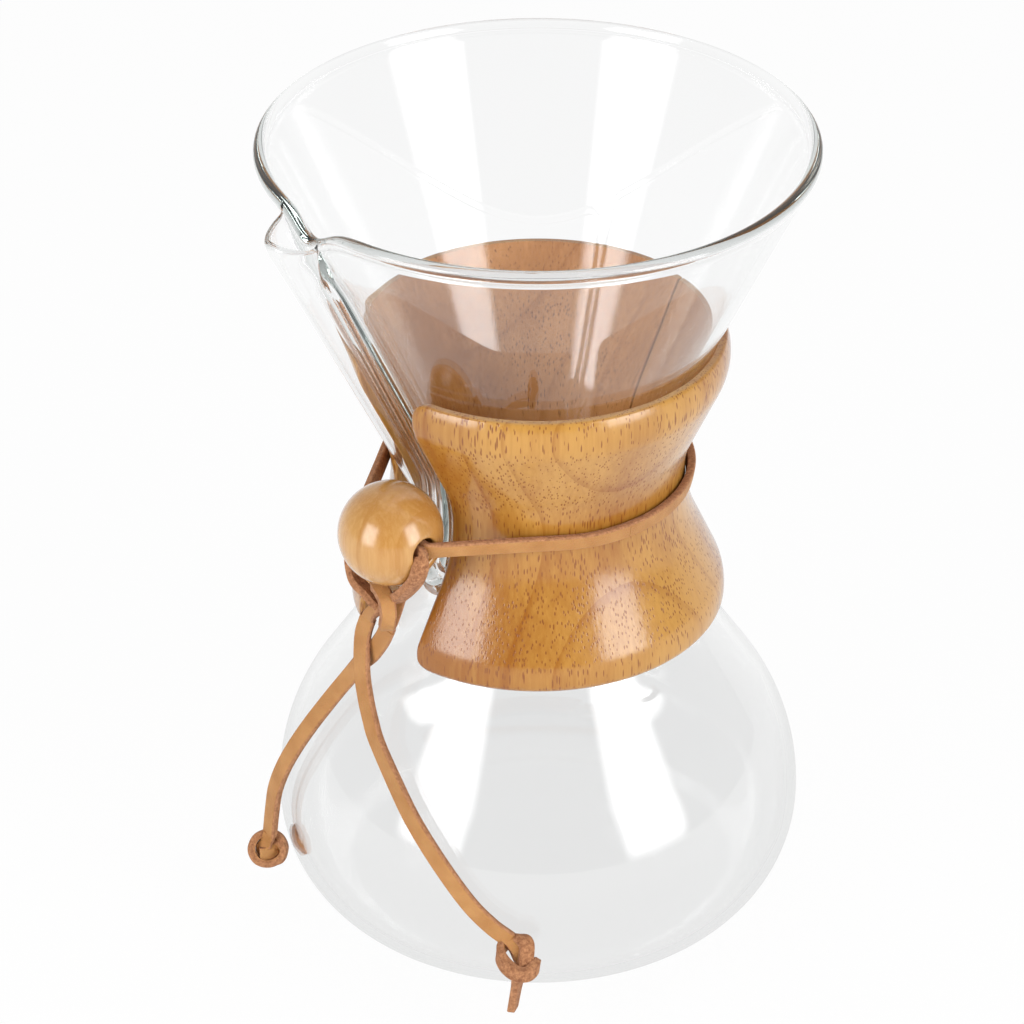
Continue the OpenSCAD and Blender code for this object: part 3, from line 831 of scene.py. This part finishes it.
# %% Wood finishes
def wood_finish(name, pale, deep, pore, size, amount, arcs, gloss, relief, coat=1.0, coat_rough=0.2):
    material, tree, shader, _ = start_material(name)
    grain = add_node(tree, "Group", node_tree=WOOD_GRAIN)
    set_inputs(tree, grain, {
        "Place": add_node(tree, "TexCoord").outputs["Object"], "Pore size": size, "Pore amount": amount,
        "Arc strength": arcs, "Pale": pale, "Deep": deep, "Pore": pore,
    })
    bump = add_node(tree, "Bump", Strength=relief, Distance=0.0002, Height=grain.outputs["Height"])
    set_inputs(tree, shader, {
        "Base Color": grain.outputs["Colour"], "Normal": bump.outputs[0], "Coat Normal": bump.outputs[0],
        "Roughness": maths(tree, "ADD", grain.outputs["Polish"], gloss), "Specular IOR Level": 0.2,
        "Coat Weight": coat, "Coat Roughness": coat_rough, "Coat IOR": 1.55,
    })
    return material


COLLAR_WOOD = wood_finish("collar_wood", (0.52, 0.26, 0.05), (0.31, 0.105, 0.007), (0.22, 0.062, 0.007),
                          size=0.34, amount=0.9, arcs=0.4, gloss=0.3, relief=0.35, coat_rough=0.16)
BORE_WOOD = wood_finish("bore_wood", (0.58, 0.272, 0.098), (0.35, 0.13, 0.03), (0.18, 0.06, 0.018),
                        size=0.28, amount=0.8, arcs=0.3, gloss=0.45, relief=0.3, coat=0.15)
BEAD_WOOD = wood_finish("bead_wood", (0.68, 0.41, 0.155), (0.47, 0.22, 0.052), (0.30, 0.12, 0.04),
                        size=0.1, amount=0.2, arcs=0.35, gloss=0.2, relief=0.05, coat_rough=0.17)
print("wood finishes made")

# %% [markdown]
# ## The collar
# Each half is a slice of one turned ring: flared at both ends, hollow at the waist, and bored to
# the glass. It is swept from the front cut to the back seam, and its front edges are rounded by
# drawing the outline in over the last few millimetres.

# %% Outline of the collar
LIP_ROUND, WAIST_R, WAIST_Z = 14.0, 36.9, 126.4
COLLAR_LOW, COLLAR_HIGH, COLLAR_R, GLASS_FIT = 87.0, 164.0, 47.5, 0.4
UPPER_HOLLOW, UPPER_SLOPE, HIGH_EDGE = 26.0, 24.0, 0.8
LOWER_HOLLOW, LOWER_SLOPE, LOW_EDGE = 44.0, 24.5, 2.5
FRONT_GAP, BACK_GAP, CORNER, FACE_N, FIT_LOW = 12.0, 0.3, 4.0, 3, 60


def lip_height(hollow, slope):
    """Height from the waist to the centre of a lip's round, past a hollow and a straight flare"""
    a = math.radians(slope)
    flare = (COLLAR_R - LIP_ROUND - WAIST_R - hollow + (LIP_ROUND + hollow) * math.cos(a)) / math.sin(a)
    return (hollow + LIP_ROUND) * math.sin(a) + flare * math.cos(a)


def collar_outline():
    """Outer points (r, z) from the inside of the lower rim to the inside of the upper rim"""
    lip_r = COLLAR_R - LIP_ROUND
    up_z = WAIST_Z + lip_height(UPPER_HOLLOW, UPPER_SLOPE)
    down_z = WAIST_Z - lip_height(LOWER_HOLLOW, LOWER_SLOPE)
    top = math.degrees(math.asin((COLLAR_HIGH - HIGH_EDGE - up_z) / (LIP_ROUND - HIGH_EDGE)))
    high = (lip_r + (LIP_ROUND - HIGH_EDGE) * math.cos(math.radians(top)), COLLAR_HIGH - HIGH_EDGE)
    low_round = round_points((COLLAR_R - LOW_EDGE, COLLAR_LOW + LOW_EDGE), LOW_EDGE, -90, 0, 8)
    low_lip = round_points((lip_r, down_z), LIP_ROUND, 0, LOWER_SLOPE, 14)
    low_hollow = round_points((WAIST_R + LOWER_HOLLOW, WAIST_Z), LOWER_HOLLOW, 180 + LOWER_SLOPE, 180, 18)
    high_hollow = round_points((WAIST_R + UPPER_HOLLOW, WAIST_Z), UPPER_HOLLOW, 180, 180 - UPPER_SLOPE, 14)
    high_lip = round_points((lip_r, up_z), LIP_ROUND, -UPPER_SLOPE, top, 18)
    return np.vstack([
        low_round, low_lip,
        np.linspace(low_lip[-1], low_hollow[0], 7)[1:-1], low_hollow, high_hollow[1:],
        np.linspace(high_hollow[-1], high_lip[0], 9)[1:-1], high_lip,
        round_points(high, HIGH_EDGE, top, 90, 6)[1:],
    ])


fit_line = glass_outline(GLASS_FIT)
fit_line = fit_line[fit_line[:, 1] > FIT_LOW]


def fit_r(z):
    return np.interp(z, fit_line[:, 1], fit_line[:, 0])


skin = collar_outline()
share = np.linspace(0, 1, len(skin))
bore_z = COLLAR_LOW + (COLLAR_HIGH - COLLAR_LOW) * share
bore_side = cols(fit_r(bore_z), bore_z)
low_face = np.linspace(bore_side[0], skin[0], FACE_N + 2)[1:-1]
high_face = np.linspace(skin[-1], bore_side[-1], FACE_N + 2)[1:-1]
loop = np.vstack([skin, high_face, bore_side[::-1], low_face])
print("collar outline:", len(loop), "points")

# %% Sweep a half
SWEEP, EDGE_N, CORNER_N, CUT_CREASE = 150, 7, 24, math.radians(50)
EDGE_MOST, EDGE_SHARE, EDGE_DEPTH, BORE_EDGE = 1.6, 0.3, 1.5, 0.5
FIRST_BORE = len(skin) + FACE_N
loop_along = unit_rows(np.roll(loop, -1, axis=0) - np.roll(loop, 1, axis=0))
loop_in = cols(-loop_along[:, 1], loop_along[:, 0])
depth = np.interp(loop[:, 1], skin[:, 1], skin[:, 0]) - fit_r(loop[:, 1])
edge = np.minimum(EDGE_MOST, EDGE_SHARE * np.maximum(depth, EDGE_DEPTH))
edge[FIRST_BORE:FIRST_BORE + len(skin)] = BORE_EDGE


def cut_loop(x_cut, t, away):
    """The outline drawn in by the rounded edge at turn t, on the plane x_cut, towards -y or +y"""
    drawn = loop + loop_in * (edge * (1 - math.cos(t)))[:, None]
    x = x_cut + edge * (1 - math.sin(t))
    return cols(x, away * np.sqrt(np.maximum(drawn[:, 0] ** 2 - x * x, 1)), drawn[:, 1])


def round_corner(ring):
    """Draw the top and bottom corners of the front cut back to a round"""
    for z, sign in ((COLLAR_LOW, 1), (COLLAR_HIGH, -1)):
        over = CORNER - np.clip(ring[:, 0] - FRONT_GAP, 0, CORNER)
        lift = CORNER - np.sqrt(np.maximum(CORNER ** 2 - over ** 2, 0))
        height = (ring[:, 2] - z) * sign
        moved = np.where(height < 2 * CORNER, lift * (1 - height / (2 * CORNER)), 0)
        ring[:, 2] += sign * np.maximum(moved, 0)


def cap_faces(at, m):
    """Quads across a cut, from the outer points to the bore's points, and fans at its ends"""
    bore = at + FIRST_BORE
    pairs = [(at + k, bore + m - 1 - k) for k in range(m)]
    faces = [(a[0], b[0], b[1], a[1]) for a, b in zip(pairs, pairs[1:])]
    top = list(range(at + m - 1, bore + 1))
    bottom = [*range(bore + m - 1, bore + m + FACE_N), at]
    return faces + [top, bottom]


def make_collar(name, mirror):
    turns = np.radians(np.linspace(90, 0, EDGE_N))
    rings = [cut_loop(FRONT_GAP, t, -1) for t in turns]
    start = np.arctan2(rings[-1][:, 0], -rings[-1][:, 1])
    last = cut_loop(BACK_GAP, 0, 1)
    end = np.arctan2(last[:, 0], -last[:, 1])
    for s in np.linspace(0, 1, SWEEP)[1:-1]:
        a = start + (end - start) * s
        rings.append(cols(loop[:, 0] * np.sin(a), -loop[:, 0] * np.cos(a), loop[:, 1]))
    rings += [cut_loop(BACK_GAP, t, 1) for t in turns[::-1]]
    for ring in rings[:EDGE_N + CORNER_N]:
        round_corner(ring)
    grid = np.array(rings)
    if mirror:
        grid = grid * [-1, 1, 1]
    faces = quad_faces(len(rings), len(loop))
    for at in (0, (len(rings) - 1) * len(loop)):
        faces += cap_faces(at, len(skin))
    piece = add_mesh(name, grid.reshape(-1, 3) * MM, faces)
    face_outwards(piece)
    piece.data.set_sharp_from_angle(angle=CUT_CREASE)
    return piece


for name, mirror in (("collar_right", False), ("collar_left", True)):
    half = make_collar("wood_" + name, mirror)
    dress(half, COLLAR_WOOD)
    half.data.materials.append(BORE_WOOD)
    for poly in half.data.polygons:
        ring_span = max(poly.vertices) - min(poly.vertices) >= len(loop)
        poly.material_index = int(ring_span and all(
            FIRST_BORE <= v % len(loop) < FIRST_BORE + len(skin) for v in poly.vertices))
    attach(half, name)
    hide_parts(name)
    print(half.name, len(half.data.vertices), "points")

# %% [markdown]
# ## The bead
# A turned ball with a hole through it. It hangs on the strip beside the pouring tube, and its bore
# lies level along the collar. The mouths of the hole are eased with a small round.

# %% Bead
BEAD_R, BORE_R, EASE, BALL_N, BEAD_AROUND = 13.0, 3.5, 0.7, 60, 96
BEAD_TURN = math.radians(9.2)
BEAD_AT = np.array([7.990, -49.331, WAIST_Z])
bore_way = np.array([math.cos(BEAD_TURN), math.sin(BEAD_TURN), 0])
out_way = np.array([math.sin(BEAD_TURN), -math.cos(BEAD_TURN), 0])


def turned(rows, at=0):
    """Rows given along the bore, outwards and up, turned to the scene's axes"""
    v = np.array(rows, float)
    return at + v[:, :1] * bore_way + v[:, 1:2] * out_way + v[:, 2:] * [0, 0, 1]


def from_bead(points):
    return turned(points, BEAD_AT)


def make_bead():
    first = math.asin((BORE_R + EASE) / BEAD_R)
    b = np.linspace(first, math.pi - first, BALL_N)
    ball = cols(BEAD_R * np.cos(b), BEAD_R * np.sin(b))
    t = np.radians(np.linspace(75, 0, 5))
    mouth = cols(ball[0, 0] - EASE + EASE * np.sin(t), BORE_R + EASE - EASE * np.cos(t))
    wall = cols(np.linspace(1, -1, 7)[1:-1] * mouth[-1, 0], np.full(5, BORE_R))
    line = np.vstack([ball, (mouth * [-1, 1]), wall[::-1], mouth[::-1]])
    a = np.linspace(0, 2 * math.pi, BEAD_AROUND + 1)[:-1]
    rings = [from_bead(cols(np.full(BEAD_AROUND, x), r * np.cos(a), r * np.sin(a)))
             for x, r in line]
    faces = quad_faces(len(line), BEAD_AROUND, closed_rows=True)
    piece = add_mesh("wood_bead", np.vstack(rings) * MM, faces)
    face_outwards(piece)
    return piece


bead = make_bead()
dress(bead, BEAD_WOOD)
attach(bead, "bead")
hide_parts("bead")
print("bead:", len(bead.data.vertices), "points")

# %% [markdown]
# ## The tie round the waist
# The strip lies in the waist's groove, smooth face outwards, and sags a little at the back. It runs
# straight to the bead, where its two strands lie side by side and roll half a turn about each
# other in the bore, so that their suede sides come out in front.

# %% Strips round the waist
TIE_R, TIE_W, TIE_SAG, SAG_FROM, SAG_TO = 38.3, 4.4, 1.2, 0.5, 1.4
TIE_LEAN = math.radians(10)
SIDE_BY_SIDE, MOUTH_AT = 1.15, 12.2
IN_BEAD, FREE_SHARES = np.array([7.6, 10, MOUTH_AT]), (0.12, 0.4, 0.7)


def in_bore(side, stations):
    """Places and looks of the strand that enters the bore on that side, at stations along it"""
    a = np.array(stations, float)
    turn = -side * math.pi / 2 * a / MOUTH_AT
    apart = cols(0 * a, np.sin(turn), side * np.cos(turn))
    return cols(a, 0 * a, 0 * a) + SIDE_BY_SIDE * apart, -apart


def on_waist(turn):
    sag = TIE_SAG * smoothstep(SAG_FROM, SAG_TO, abs(turn))
    return np.array([TIE_R * math.sin(turn), -TIE_R * math.cos(turn), WAIST_Z - sag])


def leaned(points):
    """Looks of the strip on the waist, where its face leans down a little"""
    return math.cos(TIE_LEAN) * outwards(points) - [0, 0, math.sin(TIE_LEAN)]


def make_front_strand(name, side):
    inside, inside_looks = in_bore(side, side * IN_BEAD)
    inside = from_bead(inside)
    start = inside[-1]
    turn = math.atan2(start[0], -start[1]) + side * math.acos(TIE_R / math.hypot(start[0], start[1]))
    free = [start + (on_waist(turn) - start) * t for t in FREE_SHARES]
    waist = [on_waist(t) for t in np.linspace(turn, side * math.pi / 2, 7)]
    path = np.vstack([inside, free, waist])
    looks = np.vstack([turned(inside_looks), leaned(np.vstack([free, waist]))])
    return make_strip(name, path * MM, looks, width=TIE_W * MM), start * MM, on_waist(turn) * MM


def make_back_strand(name, side):
    path = np.array([on_waist(side * t) for t in np.linspace(math.pi / 2, math.pi, 13)])
    return make_strip(name, path * MM, leaned(path), width=TIE_W * MM)


for side, half in ((1, "right"), (-1, "left")):
    strand, start, end = make_front_strand("leather_front_" + half, side)
    dress(strand, LEATHER)
    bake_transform(strand)
    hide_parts("tie_front_" + half)
    strand = make_back_strand("leather_back_" + half, side)
    dress(strand, LEATHER)
    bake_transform(strand)
    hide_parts("tie_back_" + half)
print("waist strips made")

# %% [markdown]
# ## The half knot
# Below the bead the two ends cross in a half knot. One end comes down on each side of the bead with
# its suede out, the right one passes behind a loop of the left one, and both leave downwards as
# the tails. The places are given along the bore, outwards and up from the bead's middle.

# %% Half knot
LEFT_DROP = [[-13.8, -0.2, -1.6], [-14.6, -0.6, -4.8], [-14.5, -0.4, -9.0], [-13.2, 1.2, -13.2],
             [-9.8, 3.0, -16.8], [-6.4, 2.9, -18.6], [-4.2, 2.2, -20.6], [-2.4, 0.6, -22.6]]
LEFT_LOOKS = [[-0.5, -0.8, 0.3], [-0.9, -0.3, 0.1], [-1, 0, -0.1], [-0.85, 0.1, -0.5],
              [-0.6, 0.2, -0.75], [-0.5, 0.3, -0.8], [-0.6, 0.3, -0.7], [-0.6, 0.3, -0.7]]
RIGHT_DROP = [[13.1, 2.2, -1.1], [13.5, 3.0, -3.3], [12.1, 3.2, -7.0], [7.9, 3.0, -12.4],
              [3.7, 2.4, -16.5], [-1.2, 1.6, -20.8], [-4.6, 2.0, -24.0], [-7.33, 1.52, -27.4]]
RIGHT_LOOKS = [[-0.5, -0.8, 0.3], [-0.9, -0.4, 0.1], [-0.85, -0.4, 0.35], [-0.7, -0.4, 0.6],
               [-0.6, -0.4, 0.7], [-0.6, 0.4, 0.7], [-0.3, 0.9, 0.3], [0.3, 1, 0]]
LOOP = [[-4.6, 0.6, -17.4], [-2.6, 2.4, -15.2], [-0.1, 3.8, -14.4], [3.1, 4.8, -15.8], [4.0, 5.0, -19.4],
        [3.0, 4.6, -23.2], [1.4, 3.2, -25.4], [-0.2, 1.2, -26.0], [-1.0, -0.2, -25.4]]
ROOT = [[2.4, -0.4, -17.2], [1.6, 0.4, -21.2], [0.6, 0.9, -24.6], [-0.59, 1.19, -27.4]]
ROOT_LOOKS = [[0.3, 1, 0]] * len(ROOT)
KNOT_W = 4.2 * MM
KNOT_MIDDLE = np.array([-1.0, 1.0, -21.0])
BORE_STATIONS = np.array([7.2, 3.6, 0, -3.6, -7.2, -MOUTH_AT])


def end_strand(side, drop, drop_looks):
    """A strand through the bore and down to the half knot"""
    places, looks = in_bore(side, side * BORE_STATIONS)
    return np.vstack([places, drop]), np.vstack([looks, drop_looks])


knot_parts = (
    ("leather_left_end", *end_strand(1, LEFT_DROP, LEFT_LOOKS)),
    ("leather_right_end", *end_strand(-1, RIGHT_DROP, RIGHT_LOOKS)),
    ("leather_loop", LOOP, np.array(LOOP) - KNOT_MIDDLE),
    ("leather_tail_root", ROOT, ROOT_LOOKS),
)
for name, places, looks in knot_parts:
    strand = make_strip(name, from_bead(places) * MM, turned(looks), width=KNOT_W, step=0.5 * MM)
    dress(strand, LEATHER)
    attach(strand, "carafe")
    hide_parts("tie_knot")
    print(name, round(strand["length_m"], 4), "m")

# %% [markdown]
# ## Floor, background and light
# A pale floor and a white room, as in a catalogue. The background is white for the camera. Polish
# shows a dim room with a bright back, and glass lets a room through that is nearly white. Two large
# soft lights stand at the left and right, where the highlights on the wood and the glass come from.

# %% Floor
FLOOR_GLOW = 0.94


def floor_finish():
    material, tree, shader, output = start_material("studio_floor")
    set_inputs(tree, shader, {"Base Color": (0.9, 0.9, 0.9), "Roughness": 0.9, "Specular IOR Level": 0.0})
    rays = add_node(tree, "LightPath").outputs
    seen = maths(tree, "MAXIMUM", rays["Is Camera Ray"], maths(
        tree, "MAXIMUM", rays["Is Glossy Ray"], rays["Is Transmission Ray"]))
    away = add_node(tree, "VectorMath", operation="LENGTH")
    feed(tree, away.inputs[0], add_node(tree, "NewGeometry").outputs["Position"])
    reach = maths(tree, "MULTIPLY", away.outputs["Value"], 0.5)
    # Painted shadow: glass and polish see the floor's glow dimmed to 0.84 within about 0.11 m of the carafe's
    # axis, full from 0.24 m and a little dimmer again far out; the camera sees it white
    glow_with_painted_shadow = ramp(tree, reach, [(0.0, 0.84), (0.055, 0.85), (0.12, 1), (0.3, 1), (0.8, 0.94)])
    bright = maths(tree, "MAXIMUM", glow_with_painted_shadow, rays["Is Camera Ray"])
    glow = add_node(tree, "Emission", Color=(1, 1, 1), Strength=bright)
    either = mixed_shader(tree, maths(tree, "MULTIPLY", seen, FLOOR_GLOW), shader, glow)
    feed(tree, output.inputs["Surface"], either.outputs[0])
    return material


floor = add_mesh("floor", [(-3, -3, 0), (3, -3, 0), (3, 3, 0), (-3, 3, 0)], [(0, 1, 2, 3)], smooth=False)
floor.data.materials.append(floor_finish())
print("floor made")

# %% World and lamps
BACK_WAY = (-0.41, 0.285, 0)
SOFTBOX_AIM, SOFTBOX_REACH, SOFT_EDGE = Vector((0, 0, 0.12)), 1.1, 0.18
world = bpy.data.worlds.new("studio")
bpy.context.scene.world = world
world.use_nodes = True
tree = world.node_tree
tree.nodes.clear()
rays = add_node(tree, "LightPath").outputs
way_out = add_node(tree, "TexCoord").outputs["Generated"]
to_back = add_node(tree, "VectorMath", operation="DOT_PRODUCT")
feed(tree, to_back.inputs[0], way_out)
feed(tree, to_back.inputs[1], BACK_WAY)
back_share = maths(tree, "ADD", to_back.outputs["Value"], 0.5)
room = ramp(tree, back_share, [(0.0, (0.13, 0.13, 0.135)), (0.5, (0.22, 0.22, 0.225)), (0.85, 0.75)])
through = ramp(tree, back_share, [(0.0, (0.72, 0.72, 0.73)), (0.5, (0.82, 0.82, 0.83)), (0.8, 1)])
shown = mixed(tree, rays["Is Transmission Ray"], room, through)
way_parts = add_node(tree, "SeparateXYZ", Vector=way_out)
sky = ramp(tree, way_parts.outputs["Z"], [(0.0, 0.3), (0.4, 0.34), (1.0, 0.8)])
behind, mirrored, lighting = [add_node(tree, "Background", Color=c) for c in ((1, 1, 1), shown, sky)]
bent = maths(tree, "MAXIMUM", rays["Is Glossy Ray"], rays["Is Transmission Ray"])
seen = mixed_shader(tree, rays["Is Camera Ray"], mixed_shader(tree, bent, lighting, mirrored), behind)
add_node(tree, "OutputWorld", Surface=seen.outputs[0])


def add_softbox(name, way, width, height, watts):
    lamp = bpy.data.lights.new(name, "AREA")
    lamp.shape = "RECTANGLE"
    lamp.size, lamp.size_y = width, height
    lamp.energy = watts
    lamp.use_nodes = True
    tree = lamp.node_tree
    place = add_node(tree, "NewGeometry").outputs["Parametric"]
    fades = []
    for side in add_node(tree, "SeparateXYZ", Vector=place).outputs[:2]:
        near_edge = maths(tree, "MULTIPLY", side, maths(tree, "SUBTRACT", 1.0, side))
        soft = add_node(tree, "MapRange", interpolation_type="SMOOTHSTEP", Value=near_edge)
        set_inputs(tree, soft, {"From Max": SOFT_EDGE})
        fades.append(soft.outputs[0])
    emission = next(n for n in tree.nodes if n.type == "EMISSION")
    feed(tree, emission.inputs["Strength"], maths(tree, "MULTIPLY", *fades))
    piece = bpy.data.objects.new(name, lamp)
    bpy.context.scene.collection.objects.link(piece)
    way = Vector(way).normalized()
    piece.location = SOFTBOX_AIM + SOFTBOX_REACH * way
    piece.rotation_euler = way.to_track_quat("Z", "Y").to_euler()


add_softbox("softbox_left", (0.14, -0.943, 0.3), width=0.68, height=0.95, watts=12.5)
add_softbox("softbox_right", (0.92, 0.264, 0.292), width=0.68, height=1.0, watts=13.5)
print("world and lamps made")
